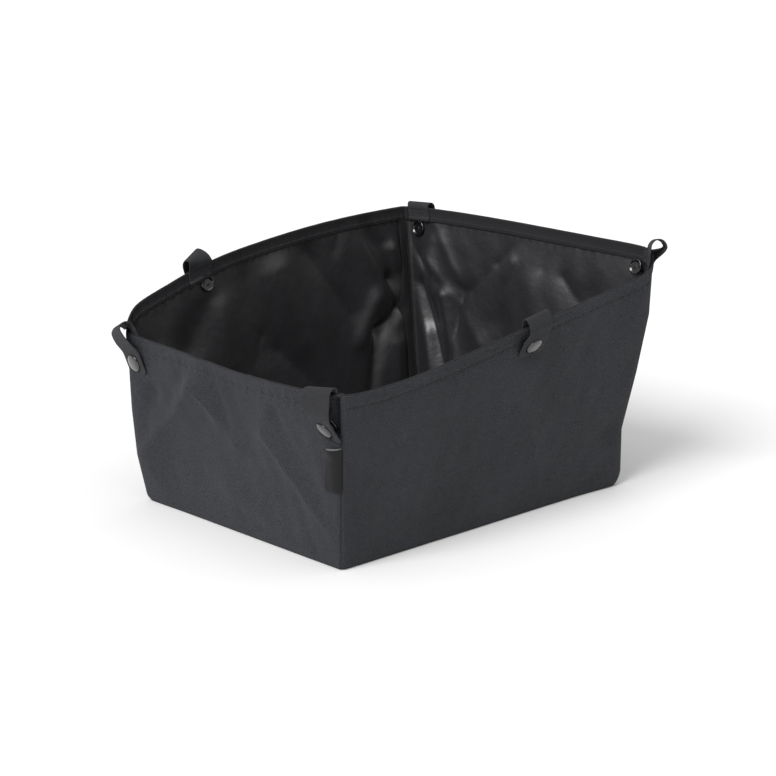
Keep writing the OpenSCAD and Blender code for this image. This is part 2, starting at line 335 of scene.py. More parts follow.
def relief(wall, t, z):
    """How far a wall's outer face stands out from its smooth shape."""
    length = LENGTH[wall]
    s = t * length
    gap = np.minimum(s, length - s)
    below = rim(wall, t) - z
    height = sum(fold_height(s, z, fold, length) for fold in FOLDS[wall])
    for kx, kz, phase, amount in RIPPLES[wall]:
        height = height + amount * np.sin(CYCLE * (kx * s + kz * z) + phase)
    snaps = [(SNAP_AT[name], strap) for name, strap in STRAPS.items() if strap["wall"] == wall]
    for (snap_s, snap_z), strap in snaps:
        off = np.hypot(s - snap_s, z - snap_z)
        height = height * (1 - 0.9 * np.exp(-(off / 15) ** 2))
    height = height * ease(gap, 2, 24) * ease(z, 0, 26) * mix(0.35, 1, ease(below, 4, 30))
    for (snap_s, snap_z), strap in snaps:
        off = np.hypot(s - snap_s, z - snap_z)
        tilt = math.tan(math.radians(strap["down"])) * 0.75
        height = height + (tilt * (z - snap_z) + 0.4) * np.exp(-(off / 8.5) ** 2)
    pucker = sum(amount * np.sin(CYCLE * s / wave + wander * np.sin(s / reach))
                 for amount, wave, wander, reach in PUCKERS)
    strength = 1.0 if wall in ("low_end", "back") else 0.6
    height = height + strength * pucker * np.exp(-((below - HEM) / 5.5) ** 2) * ease(gap, 0, 8)
    height = height - 0.7 * np.exp(-((below - HEM) / 0.9) ** 2)
    height = height + 0.75 * np.sin(np.pi * np.clip(below / HEM, 0, 1)) ** 0.6
    height = height - 0.9 * np.exp(-(gap / 1.5) ** 2)
    if wall == "low_end":
        deep, at, width = TUCK
        height = height - deep * np.exp(-((s - at) / width) ** 2) * ease(z, 104, 114) * ease(below, 0, 5)
    if wall == "front":
        proud, at, width = LIP
        height = height + proud * np.exp(-((s - at) / width) ** 2) * ease(z, 100, 112)
    for name, off in zip(WALLS[wall]["ends"], (s, length - s)):
        foot = mix(3.0, CORNERS[name]["foot"], np.exp(-(off / 20) ** 2))
        height = height - 0.3 * foot * (1 - np.clip(z / foot, 0, 1)) ** 2
    return height


def outer_face(wall, t, z):
    return smooth_wall(wall, t, z) + facing(wall, t, z, smooth_wall) * relief(wall, t, z)[..., None]


def skin(wall, t, z, depth=0.0):
    """A point at some depth behind a wall's outer face."""
    t, z = np.broadcast_arrays(np.asarray(t, float), np.asarray(z, float))
    return outer_face(wall, t, z) - facing(wall, t, z, outer_face) * np.asarray(depth, float)[..., None]


def sewn_at(wall, s, drop, depth):
    """A point at distance s along a wall and some way below the rim. Beyond the wall's end it is on the next
    wall round the corner."""
    length, ends = LENGTH[wall], WALLS[wall]["ends"]
    t = np.clip(s / length, 0, 1)
    point = skin(wall, t, rim(wall, t) - drop, depth)
    for end, over in ((0, -s), (1, s - length)):
        for other, facts in WALLS.items():
            if other != wall and ends[end] in facts["ends"]:
                share = np.clip(over / LENGTH[other], 0, 1)
                t = share if facts["ends"][0] == ends[end] else 1 - share
                beyond_it = skin(other, t, rim(other, t) - drop, depth)
                point = np.where((over > 0)[..., None], beyond_it, point)
    return point


def places(wall, fine=0.6, coarse=2.1):
    """Places along a wall, closer together at its corner seams."""
    length = LENGTH[wall]
    edge = np.concatenate([np.arange(0, 4, fine), np.arange(4, 14, 1.2)])
    middle = np.linspace(14, length - 14, int((length - 28) / coarse))
    return np.concatenate([edge, middle, length - edge[::-1]]) / length


# ---------------------------------------------------------------- meshes

def make(name, points, faces, materials, face_material=None, uv=None):
    """A clean mesh object from points in millimetres."""
    mesh = bpy.data.meshes.new(name)
    mesh.from_pydata((np.asarray(points) * MM).tolist(), [], faces)
    if uv is not None:
        layer = mesh.uv_layers.new(name="cloth")
        loop_points = np.zeros(len(mesh.loops), int)
        mesh.loops.foreach_get("vertex_index", loop_points)
        layer.data.foreach_set("uv", (np.asarray(uv)[loop_points] * MM).ravel())
    for material in materials:
        mesh.materials.append(material)
    if face_material is not None:
        mesh.polygons.foreach_set("material_index", face_material)
    mesh.polygons.foreach_set("use_smooth", [True] * len(mesh.polygons))
    work = bmesh.new()
    work.from_mesh(mesh)
    bmesh.ops.recalc_face_normals(work, faces=work.faces)
    work.to_mesh(mesh)
    work.free()
    piece = bpy.data.objects.new(name, mesh)
    bpy.context.scene.collection.objects.link(piece)
    return piece


def grid_faces(rows, columns, start=0, wrap=False):
    r, c = np.meshgrid(np.arange(rows - 1), np.arange(columns if wrap else columns - 1), indexing="ij")
    n = (c + 1) % columns
    quads = np.stack([r * columns + c, r * columns + n, (r + 1) * columns + n, (r + 1) * columns + c], -1)
    return (quads.reshape(-1, 4) + start).tolist()


def sheet_solid(name, outer, inner, uv, materials):
    """A closed thin solid between two grids of points."""
    rows, columns = outer.shape[:2]
    count = rows * columns
    faces = grid_faces(rows, columns) + grid_faces(rows, columns, count)
    sides = [0] * (len(faces) // 2) + [1] * (len(faces) // 2)
    index = np.arange(count).reshape(rows, columns)
    border = np.concatenate([index[0, :-1], index[:-1, -1], index[-1, :0:-1], index[:0:-1, 0]])
    following = np.roll(border, -1)
    faces += [[a, b, b + count, a + count] for a, b in zip(border.tolist(), following.tolist())]
    sides += [0] * len(border)
    points = np.concatenate([outer.reshape(-1, 3), inner.reshape(-1, 3)])
    if len(materials) == 1:
        sides = [0] * len(sides)
    return make(name, points, faces, materials, sides, np.concatenate([uv.reshape(-1, 2)] * 2))


RING = [("front", 1), ("high_end", 1), ("back", -1), ("low_end", -1)]


def around(row, step=2.1):
    """Points round the basket. row(wall, t) gives each wall's points; the last axis is x, y, z."""
    parts = []
    for wall, way in RING:
        t = places(wall, coarse=step)[::way]
        parts.append(row(wall, t[:-1]))
    return np.concatenate(parts)


def ring_line(distance, depth, from_rim):
    """A line round the basket at some depth, a distance down from the rim or up from the ground."""
    def row(wall, t):
        z = rim(wall, t) - distance if from_rim else np.full_like(t, distance)
        return skin(wall, t, z, np.full_like(t, depth))

    return around(row)


def swept_ring(name, section, from_rim, material):
    """A closed band round the basket. The section is a closed line of (distance, depth)."""
    grid = np.array([ring_line(distance, depth, from_rim) for distance, depth in section])
    rows, columns = grid.shape[:2]
    ahead = np.linalg.norm(np.roll(grid[0], -1, 0) - grid[0], axis=1)
    run = np.concatenate([[0], np.cumsum(ahead)[:-1]])
    uv = np.stack(np.broadcast_arrays(run[None, :], np.array([d for d, _ in section])[:, None]), -1)
    r, c = np.meshgrid(np.arange(rows), np.arange(columns), indexing="ij")
    faces = np.stack([r * columns + c, r * columns + (c + 1) % columns,
                      (r + 1) % rows * columns + (c + 1) % columns, (r + 1) % rows * columns + c], -1)
    return make(name, grid.reshape(-1, 3), faces.reshape(-1, 4).tolist(), [material], uv=uv.reshape(-1, 2))


def lathe(name, profile, origin, axis, material, segments=56):
    """A solid of revolution: profile is (radius, height) from its bottom centre to its top centre."""
    axis = unit(np.array(axis, float))
    side = unit(np.cross(axis, [0.31, 0.17, 0.93]))
    other = np.cross(axis, side)
    angles = np.linspace(0, 2 * math.pi, segments, endpoint=False)
    ring = np.cos(angles)[:, None] * side + np.sin(angles)[:, None] * other
    middle = profile[1:-1]
    points = [np.array([origin + axis * profile[0][1]])]
    points += [origin + ring * r + axis * h for r, h in middle]
    points.append(np.array([origin + axis * profile[-1][1]]))
    faces = grid_faces(len(middle), segments, 1, wrap=True)
    last = 1 + len(middle) * segments
    for i in range(segments):
        n = (i + 1) % segments
        faces.append([0, 1 + n, 1 + i])
        faces.append([last, last - segments + i, last - segments + n])
    return make(name, np.concatenate(points), faces, [material])


def rounded(profile, radius=0.22):
    """Rounds the corners of a lathe profile, so its edges catch the light."""
    out = [profile[0]]
    for before, corner, after in zip(profile, profile[1:], profile[2:]):
        c = np.array(corner, float)
        back, ahead = np.array(before, float) - c, np.array(after, float) - c
        r = min(radius, np.linalg.norm(back) / 2.2, np.linalg.norm(ahead) / 2.2)
        a, b = c + unit(back) * r, c + unit(ahead) * r
        out += [tuple((1 - q) ** 2 * a + 2 * q * (1 - q) * c + q * q * b) for q in (0, 0.33, 0.67, 1)]
    return out + [profile[-1]]


def stitches(name, lines, material, pitch=3.1, radius=0.27, lift=0.12):
    """Rows of thread. Each line is a dense run of surface points and their outward directions."""
    points, faces = [], []
    turn = np.linspace(0, 2 * math.pi, 6, endpoint=False)
    for line, out in lines:
        run = np.concatenate([[0], np.cumsum(np.linalg.norm(np.diff(line, axis=0), axis=1))])
        for start in np.arange(pitch * 0.15, run[-1] - pitch * 0.8, pitch):
            at = np.linspace(start, start + pitch * 0.72, 5)
            centre = np.stack([np.interp(at, run, line[:, k]) for k in range(3)], -1)
            up = unit(np.stack([np.interp(at, run, out[:, k]) for k in range(3)], -1))
            ahead = unit(np.gradient(centre, axis=0))
            side = unit(np.cross(ahead, up))
            arch = np.array([-0.35, 0.6, 1, 0.6, -0.35])[:, None]
            wide = np.array([0.55, 0.95, 1, 0.95, 0.55])[:, None, None] * radius
            centre = centre + up * lift * arch
            rings = centre[:, None] + wide * (np.cos(turn)[None, :, None] * side[:, None]
                                              + np.sin(turn)[None, :, None] * up[:, None])
            first = len(points) * 30
            points.append(rings.reshape(-1, 3))
            faces += grid_faces(5, 6, first, wrap=True)
            faces.append([first + k for k in range(5, -1, -1)])
            faces.append([first + 24 + k for k in range(6)])
    return make(name, np.concatenate(points), faces, [material])


def wall_line(wall, t, z, depth, outside):
    """A dense line on a wall's face for stitches, with the way it faces."""
    t, z = np.broadcast_arrays(np.asarray(t, float), np.asarray(z, float))
    out = facing(wall, t, z, outer_face)
    return skin(wall, t, z, np.full(t.shape, depth)), out if outside else -out


# ---------------------------------------------------------------- materials

class Nodes:
    """Short calls for building a node material."""

    def __init__(self, name):
        self.material = bpy.data.materials.new(name)
        self.material.use_nodes = True
        self.tree = self.material.node_tree
        self.shader = self.tree.nodes["Principled BSDF"]

    def add(self, kind, **values):
        node = self.tree.nodes.new(kind)
        for key, value in values.items():
            if hasattr(node, key):
                setattr(node, key, value)
            else:
                node.inputs[key].default_value = value
        return node

    def link(self, output, target):
        self.tree.links.new(output, target)

    def math(self, operation, a, b=None):
        node = self.add("ShaderNodeMath", operation=operation)
        for socket, value in zip(node.inputs, (a, b)):
            if value is None:
                continue
            if isinstance(value, (int, float)):
                socket.default_value = value
            else:
                self.link(value, socket)
        return node.outputs[0]

    def noise(self, vector, scale, detail=3.0, rough=0.55):
        node = self.add("ShaderNodeTexNoise", Scale=scale, Detail=detail, Roughness=rough)
        self.link(vector, node.inputs["Vector"])
        return node.outputs["Fac"]

    def ramp(self, factor, low, high, start=0.3, end=0.7):
        node = self.add("ShaderNodeValToRGB")
        node.color_ramp.elements[0].position, node.color_ramp.elements[1].position = start, end
        node.color_ramp.elements[0].color = (*low, 1)
        node.color_ramp.elements[1].color = (*high, 1)
        self.link(factor, node.inputs["Fac"])
        return node.outputs["Color"]

    def spread(self, factor, low, high):
        """Maps a factor of 0 to 1 onto a range."""
        node = self.add("ShaderNodeMapRange")
        node.inputs["To Min"].default_value, node.inputs["To Max"].default_value = low, high
        self.link(factor, node.inputs["Value"])
        return node.outputs["Result"]

    def finish(self, values):
        for socket, value in values.items():
            self.shader.inputs[socket].default_value = value

    def bump(self, height, distance, strength=1.0, below=None):
        node = self.add("ShaderNodeBump", Strength=strength, Distance=distance)
        self.link(height, node.inputs["Height"])
        if below is not None:
            self.link(below, node.inputs["Normal"])
        return node.outputs["Normal"]


def weave_height(n, uv, pitch):
    """A plain weave: warp and weft take turns on top."""
    parts = n.add("ShaderNodeSeparateXYZ")
    n.link(uv, parts.inputs[0])
    k = math.pi / pitch
    warp = n.math("SINE", n.math("MULTIPLY", parts.outputs["X"], k))
    weft = n.math("SINE", n.math("MULTIPLY", parts.outputs["Y"], k))
    checks = n.math("MULTIPLY", warp, weft)
    threads = n.math("ADD", n.math("ABSOLUTE", warp), n.math("ABSOLUTE", weft))
    return n.math("ADD", n.math("MULTIPLY", checks, 0.5), n.math("MULTIPLY", threads, 0.35))


def cloth_material(name, dark, light, roughness, sheen, pitch, weave, wrinkle, coat=0.0, specular=0.35,
                   grain=0.5):
    """Woven cloth. The weave follows the cloth's own cut; wear and tone vary over the piece. pitch, weave and
    wrinkle are metres: a thread's spacing, and the heights of the weave and of the creases."""
    n = Nodes(name)
    uv = n.add("ShaderNodeUVMap", uv_map="cloth").outputs["UV"]
    place = n.add("ShaderNodeTexCoord").outputs["Object"]
    weft = weave_height(n, uv, pitch)
    broad = n.noise(place, 14, 4)
    speckle = n.noise(place, 950, 2, 0.6)
    tone = n.math("ADD", n.math("MULTIPLY", broad, 0.25),
                  n.math("ADD", n.math("MULTIPLY", speckle, grain), n.math("MULTIPLY", weft, 0.22)))
    middle = 0.225 + 0.5 * grain
    n.link(n.ramp(tone, dark, light, max(middle - 0.42, 0), middle + 0.42), n.shader.inputs["Base Color"])
    n.link(n.spread(n.noise(place, 60, 3), roughness - 0.06, roughness + 0.06), n.shader.inputs["Roughness"])
    creased = n.bump(n.noise(place, 38, 5, 0.6), wrinkle)
    fuzz = n.bump(speckle, weave * 0.7, 0.8, creased)
    n.link(n.bump(weft, weave, 1.0, fuzz), n.shader.inputs["Normal"])
    n.finish({"Sheen Weight": sheen, "Sheen Roughness": 0.45, "Specular IOR Level": specular,
              "Coat Weight": coat, "Coat Roughness": 0.4})
    return n.material


def gloss_material(name, dark, light, roughness):
    """Moulded plastic with a faint flow texture and fine scuffs."""
    n = Nodes(name)
    place = n.add("ShaderNodeTexCoord").outputs["Object"]
    n.link(n.ramp(n.noise(place, 220, 3), dark, light), n.shader.inputs["Base Color"])
    scuffs = n.noise(place, 900, 4, 0.7)
    n.link(n.spread(scuffs, roughness * 0.75, roughness * 1.4), n.shader.inputs["Roughness"])
    n.link(n.bump(n.noise(place, 260, 2), 0.00006), n.shader.inputs["Normal"])
    n.finish({"Specular IOR Level": 0.8, "Coat Weight": 0.5, "Coat Roughness": 0.06})
    return n.material


SHELL_OUT = cloth_material("shell_weave", (0.0, 0.0, 0.001), (0.058, 0.06, 0.068), 0.88, 0.05, 0.0011,
                           0.0003, 0.0009, specular=0.2, grain=0.9)
SHELL_IN = cloth_material("shell_coating", (0.008, 0.008, 0.01), (0.024, 0.024, 0.028), 0.46, 0.03, 0.0008,
                          0.00002, 0.0014, coat=0.35, specular=0.9, grain=0.15)
TAPE = cloth_material("binding_weave", (0.01, 0.01, 0.0115), (0.03, 0.03, 0.033), 0.9, 0.05, 0.0011,
                      0.0002, 0.0002, specular=0.25)
WEBBING = cloth_material("strap_weave", (0.012, 0.012, 0.014), (0.042, 0.043, 0.047), 0.86, 0.05, 0.00095,
                         0.0002, 0.0003, specular=0.2, grain=0.9)
LABEL_FACE = cloth_material("label_weave", (0.002, 0.002, 0.003), (0.008, 0.008, 0.009), 0.6, 0.04, 0.0005,
                            0.00006, 0.0002, specular=0.25)
LABEL_BACK = cloth_material("label_backing", (0.12, 0.12, 0.125), (0.26, 0.26, 0.27), 0.75, 0.1, 0.0005,
                            0.00006, 0.0002)
THREAD = cloth_material("thread", (0.025, 0.025, 0.028), (0.07, 0.07, 0.076), 0.75, 0.1, 0.0004, 0.00003,
                        0.00003)
SNAP = gloss_material("snap_gloss", (0.002, 0.002, 0.0025), (0.006, 0.006, 0.0065), 0.12)

fixed, cloth = [], []     # pieces on the shell, and (piece, cut, how it is held, what it rests on)

# ---------------------------------------------------------------- walls and base

for wall in WALLS:
    t = places(wall)
    fine = np.arange(0, FINE_ROWS + 0.1, 1.0)[::-1]
    plain_rows = np.linspace(0, 1, PLAIN_ROWS, endpoint=False)
    rows = [share * (rim(wall, t) - FINE_ROWS) + 0.15 for share in plain_rows]
    rows += [rim(wall, t) - b for b in fine]
    z = np.array(rows)
    tt = np.broadcast_to(t, z.shape)
    outer, inner = skin(wall, tt, z, np.zeros(z.shape)), skin(wall, tt, z, np.full(z.shape, CLOTH))
    uv = np.stack([tt * LENGTH[wall], z], -1)
    panel = sheet_solid("wall_" + wall, outer, inner, uv, [SHELL_OUT, SHELL_IN])
    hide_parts(wall + "_panel")
    fixed.append(panel)
    heights = rim(wall, np.linspace(0, 1, 200))
    width, tall = LENGTH[wall] + CUT_SPARE, float(heights.max()) + CUT_SPARE
    area = (LENGTH[wall] * float(heights.mean())) * MM ** 2
    cloth.append((panel, (width, tall), area, "stretched", ["floor_sheet"]))


def base_solid():
    """The base: rings of points from the walls' foot to the middle, with a soft swell."""
    edge = around(lambda wall, t: skin(wall, t, np.full_like(t, 1.0), np.full_like(t, CLOTH * 0.9)))
    columns = len(edge)
    shares = np.array([1, 0.992, 0.975, 0.94, 0.88, 0.78, 0.64, 0.48, 0.3, 0.12])
    grids = []
    for level in (1.25, 0.1):
        rings = edge[None, :, :2] * shares[:, None, None]
        swell = 0.9 * (np.sin(rings[..., 0] / 31 + 0.6) * np.sin(rings[..., 1] / 27 + 0.3) + 1)
        height = level + swell * (1 - shares[:, None] ** 6)
        grids.append(np.concatenate([rings, height[..., None]], -1))
    points = np.concatenate([grids[0].reshape(-1, 3), grids[1].reshape(-1, 3)])
    count = columns * len(shares)
    faces = grid_faces(len(shares), columns, wrap=True)
    faces += grid_faces(len(shares), columns, count, wrap=True)
    for c in range(columns):
        n = (c + 1) % columns
        faces.append([c, n, n + count, c + count])
    inside = count - columns
    faces.append([inside + c for c in range(columns)])
    faces.append([inside + count + c for c in range(columns)][::-1])
    top_faces = (len(shares) - 1) * columns
    sides = [1] * top_faces + [0] * top_faces + [0] * columns + [1, 0]
    return make("base_floor", points, faces, [SHELL_OUT, SHELL_IN], sides, points[:, :2])


base = base_solid()
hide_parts("base_panel")
fixed.append(base)
cloth.append((base, (BASE_L + CUT_SPARE, BASE_W + CUT_SPARE), BASE_L * BASE_W * MM ** 2, "laid",
              ["floor_sheet"]))

# ---------------------------------------------------------------- tapes and seams

# Outlines of the two tapes as (distance, depth): the rim tape's is down from the rim and wraps its edge, and
# the foot tape's is up from the ground and covers the base seam.
RIM_SECTION = [(-0.45, 0.15), (-0.7, 0.6), (-0.6, 1.2), (-0.1, 1.75), (1.0, 1.95), (4.0, 2.0), (8.0, 1.95),
               (10.3, 1.95), (10.9, 1.85), (11.1, 1.5), (11.0, 1.14), (6.0, 1.12), (1.0, 1.12), (0.05, 1.1),
               (0.05, 0.15)]
FOOT_SECTION = [(1.5, 1.14), (6.0, 1.14), (6.6, 1.5), (6.2, 1.9), (3.4, 2.2), (2.8, 3.4), (2.9, 7.0),
                (2.8, 11.0), (2.2, 11.4), (1.5, 11.2), (1.4, 6.0)]
RIM_TAPE_W, FOOT_TAPE_W = 24, 26
LAP = 20              # overlap where a tape's ends meet
tape = swept_ring("rim_tape_band", RIM_SECTION, True, TAPE)
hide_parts("rim_tape")
foot = swept_ring("base_tape_band", FOOT_SECTION, False, TAPE)
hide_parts("base_binding")
girth = sum(LENGTH.values())
for band, width in ((tape, RIM_TAPE_W), (foot, FOOT_TAPE_W)):
    fixed.append(band)
    cloth.append((band, (width, girth + LAP), 0.5 * width * girth * MM ** 2, "stretched", ["wall_front"]))

SEAMS = {"front_low": ("front", 0), "front_high": ("front", 1),
         "back_low": ("back", 0), "back_high": ("back", 1)}
BINDING_W = 10.5
BINDING_STITCH = 3.2  # the binding's stitch line, from the corner
for name, (wall, end) in SEAMS.items():
    across = np.array([0.3, 0.6, 1.2, 2.5, 5, 7.5, 9.2, 10, 10.4])
    sign = 1 if end == 0 else -1
    t = end + sign * across * 1.25 / LENGTH[wall]
    share = np.linspace(0, 1, 90)[:, None]
    z = mix(3.2, rim(wall, t)[None, :] - 10.6, share)
    t = np.broadcast_to(t, z.shape)
    flap = np.clip(across / BINDING_W, 0, 1)[None, :]
    held = ease(share, 0, 0.1) * ease(1 - share, 0, 0.1)
    stand = 0.9 * flap * (0.6 + 0.4 * np.sin(share * 19 + len(name))) * held
    belly = 1.45 * (1 - 0.75 * np.abs(2 * flap - 1) ** 5)
    near = skin(wall, t, z, CLOTH + 0.06 + stand)
    far = skin(wall, t, z, CLOTH + 0.1 + stand + belly)
    uv = np.stack([np.broadcast_to(across, z.shape), z], -1)
    binding = sheet_solid("binding_" + name, near, far, uv, [TAPE])
    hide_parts("corner_binding_" + name)
    fixed.append(binding)
    tall = float(z.max() - z.min())
    cloth.append((binding, (BINDING_W * 2, tall + 6), BINDING_W * tall * MM ** 2, "folded", ["wall_" + wall]))

hem_rows, tape_rows = [], []
for wall in WALLS:
    t = np.linspace(0.004, 0.996, int(LENGTH[wall]))
    hem_rows.append(wall_line(wall, t, rim(wall, t) - HEM, 0.0, True))
    tape_rows.append(wall_line(wall, t, rim(wall, t) - HEM + 0.4, 1.98, False))
binding_rows = []
for name, (wall, end) in SEAMS.items():
    t = np.full(160, end + (1 if end == 0 else -1) * BINDING_STITCH / LENGTH[wall])
    z = np.linspace(6, float(rim(wall, t[:1])[0]) - 12, 160)
    binding_rows.append(wall_line(wall, t, z, CLOTH + 1.75, False))
for name, rows in (("hem_thread", hem_rows), ("tape_thread", tape_rows), ("binding_thread", binding_rows)):
    fixed.append(stitches(name, rows, THREAD))

# ---------------------------------------------------------------- straps and snaps

def strap_line(strap):
    """The strap's centre line as (outward, sideways, up), from its sewn end over the loop to its tip."""
    down = math.radians(strap["down"])
    reach = (strap["out"] - LEG_X) / 2
    loop_x = LEG_X + reach
    high = strap["top"] - strap["widest"]
    arch = [(loop_x + reach * math.cos(a), strap["widest"] + high * math.sin(a))
            for a in np.radians([165, 150, 130, 110, 90, 70, 50, 30, 15, 0])]
    ahead = np.array([-math.sin(down), -math.cos(down)])
    snap = np.array([SNAP_GAP + STRAP_T / 2, -strap["drop"]])
    hold = snap - ahead * (CAP_R + 0.5)
    sag = mix(np.array(arch[-1]), hold, 0.5) + np.array([0.9, 0])
    keys = [(LEG_X, -LEG), (LEG_X, -LEG * 0.66), (LEG_X, -LEG * 0.33), (LEG_X, min(strap["widest"], 0) - 0.5)]
    keys += arch
    keys += [tuple(point) for point in (sag, hold, snap, snap + ahead * TIP * 0.5, snap + ahead * TIP)]
    keys = np.array(keys)
    spans = np.linalg.norm(np.diff(keys, axis=0), axis=1) ** 0.5
    knots = np.concatenate([[0], np.cumsum(spans)])
    slopes = np.gradient(keys, knots, axis=0)
    dense = []
    for i in range(len(keys) - 1):
        q = np.linspace(0, 1, 12, endpoint=False)[:, None]
        h = knots[i + 1] - knots[i]
        dense.append((2 * q ** 3 - 3 * q ** 2 + 1) * keys[i] + (q ** 3 - 2 * q ** 2 + q) * h * slopes[i]
                     + (3 * q ** 2 - 2 * q ** 3) * keys[i + 1] + (q ** 3 - q ** 2) * h * slopes[i + 1])
    dense = np.concatenate(dense + [keys[-1:]])
    run = np.concatenate([[0], np.cumsum(np.linalg.norm(np.diff(dense, axis=0), axis=1))])
    even = np.linspace(0, run[-1], int(run[-1] / 0.9))
    line = np.stack([np.interp(even, run, dense[:, 0]), np.interp(even, run, dense[:, 1])], -1)
    return line, even, even[-1] - TIP


def loop_frame(strap):
    """Where a strap crosses the rim: a point on the rim's outer edge, and the outward, rightward and upward
    directions there. Near a corner they follow its turn."""
    wall, sense = strap["wall"], WALLS[strap["wall"]]["sense"]
    s = np.array(strap["place"] * LENGTH[wall] + sense * strap["shift"])
    spot, left, right = (sewn_at(wall, s + sense * off, np.array(0.0), np.array(0.3)) for off in (0, -7, 7))
    right = unit(right - left)
    out = unit(np.cross(right, UPRIGHT))
    roll = math.radians(strap["loop_roll"])
    up = np.cross(out, right)
    rolled_right = math.cos(roll) * right + math.sin(roll) * up
    return spot, out, rolled_right, math.cos(roll) * up - math.sin(roll) * right


ACROSS = np.array([-1, -0.985, -0.94, -0.6, -0.2, 0.2, 0.6, 0.94, 0.985, 1])      # places across a strap
THINNED = np.where(np.abs(ACROSS) > 0.99, 0.45, np.where(np.abs(ACROSS) > 0.97, 0.85, 1))   # its soft edges


def placed(origin, x, y, z, out, right, up):
    return origin + x[..., None] * out + y[..., None] * right + z[..., None] * up


def ribbon_of(strap):
    """One strap as rows of points across it. It leaves the wall at its sewn end, follows its loop over the
    rim and eases into the flap's own lean at the snap."""
    line, run, snap_run = strap_line(strap)
    x, z = line[:, :1], line[:, 1:]
    at_top, at_widest = int(np.argmax(line[:, 1])), int(np.argmax(line[:, 0]))
    at_snap = int(np.argmin(np.abs(run - snap_run)))
    tip = np.clip(1 - (run[-1] - run) / TIP_REACH, 0, 1)
    y = ACROSS[None, :] * (STRAP_W / 2 - TIP_ROUND * (1 - np.sqrt(1 - tip ** 2)))[:, None]

    spot, *loop_axes = loop_frame(strap)
    turn = np.radians(strap["turn"]) * ease(run, LEG + 1, run[at_top])[:, None]
    loop_points = placed(spot, x - y * np.sin(turn), y * np.cos(turn), z, *loop_axes)

    origin, out, right, up = strap_frame(strap)
    roll, twist = math.radians(strap["roll"]), math.radians(strap["snap_turn"])
    snap_x, snap_z = line[at_snap]
    snap_at = origin + snap_x * out + snap_z * up
    low_right = math.cos(roll) * right + math.sin(roll) * up
    low_up = -math.sin(roll) * right + math.cos(roll) * up
    low_points = placed(snap_at, x - snap_x - y * math.sin(twist), y * math.cos(twist), z - snap_z,
                        out, low_right, low_up)

    hangs = ease(run, mix(run[at_top], run[at_widest], 0.7), snap_run - CAP_R)[:, None, None]
    middle = mix(loop_points, low_points, hangs)
    face = unit(np.cross(unit(np.gradient(middle, axis=0)), unit(np.gradient(middle, axis=1))))
    wall, sense = strap["wall"], WALLS[strap["wall"]]["sense"]
    s = strap["place"] * LENGTH[wall] + sense * (strap["shift"] + y)
    on_wall = np.where(run < run[at_top], 1 - ease(line[:, 1], -1.5, 4.0), 0)[:, None, None]
    sides = []
    for way in (1, -1):
        off = way * STRAP_T / 2 * THINNED
        free = middle + off[None, :, None] * face
        sewn = sewn_at(wall, s, np.broadcast_to(-z, y.shape), np.broadcast_to(LEG_DEPTH + off, y.shape))
        sides.append(mix(free, sewn, on_wall))
    hang_run = mix(run[at_widest], snap_run - CAP_R, 0.5)
    return sides, run, hang_run, middle[at_snap].mean(0), unit(face[at_snap].mean(0))


def bend_between(root_part, flap_part, out, right):
    """Where a strap bends: two points between its sewn end and its hanging flap, along the way that keeps
    those two parts furthest apart."""
    apart = -np.inf
    for lean in np.radians(np.arange(-10, 31, 4)):
        for yaw in np.radians(np.arange(-54, 55, 6)):
            level = np.cos(yaw) * out + np.sin(yaw) * right
            way = unit(np.cos(lean) * level - np.sin(lean) * UPRIGHT)
            start, end = (root_part @ way).max(), (flap_part @ way).min()
            if end - start > apart:
                apart, bend = end - start, (way, start, end)
    way, start, end = bend
    short = max(BEND_LEAST - apart, 0) / 2
    return way * (start - short), way * (end + short)


# The parts of a snap, as an outline of (radius, height) to be turned and the rounding of its corners. The cap
# and the socket are measured from the strap's middle, the stud from the wall's outer face, and the post from
# the end of its shank.
SNAP_PARTS = {
    "cap": ([(0, 0.5), (CAP_R - 0.5, 0.5), (CAP_R, 0.9), (CAP_R, 1.3), (CAP_R - 0.6, 2.0), (CAP_R - 2.0, 2.5),
             (CAP_R - 4, 2.85), (0, 3.0)], 0.35),
    "socket": ([(0, -0.5), (1.6, -0.5), (6.0, -0.5), (6.0, -1.4), (4.9, -2.2), (4.7, -3.0), (4.2, -3.0),
                (3.7, -2.6), (3.7, -1.1), (0, -1.1)], 0.22),
    "stud": ([(0, 0.05), (5.5, 0.05), (5.5, 0.6), (4.9, 1.05), (3.0, 1.2), (2.9, 1.9), (3.25, 2.2),
              (3.1, 2.7), (2.4, 2.9), (0, 2.9)], 0.22),
    "post": ([(0, 0.02), (6.4, 0.02), (7.0, -0.3), (7.0, -1.2), (6.5, -1.9), (5.7, -2.0), (5.0, -1.4),
              (4.4, -1.05), (1.6, -1.0), (1.1, -1.25), (0, -1.3)], 0.3),
}
TAPED_SHANK = 2.95    # shank of a snap that also goes through the rim tape
TAPED_DROP = 16       # such a snap is less than this below the rim


def add_snap(key, seat, axis):
    """A snap's four parts: the cap and socket move with the flap, the stud and post stay on the wall."""
    shank = TAPED_SHANK if STRAPS[key]["drop"] < TAPED_DROP else CLOTH
    foot_at = seat - axis * (SNAP_GAP + STRAP_T / 2)
    for part, (outline, rounding) in SNAP_PARTS.items():
        on_flap = part in ("cap", "socket")
        if part == "post":
            outline = [(radius, height - shank) for radius, height in outline]
        piece = lathe(part + "_" + key, rounded(outline, rounding), seat if on_flap else foot_at, axis, SNAP)
        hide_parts("snap_" + part + "_" + key)
        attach(piece, "flap_" + key if on_flap else "shell")


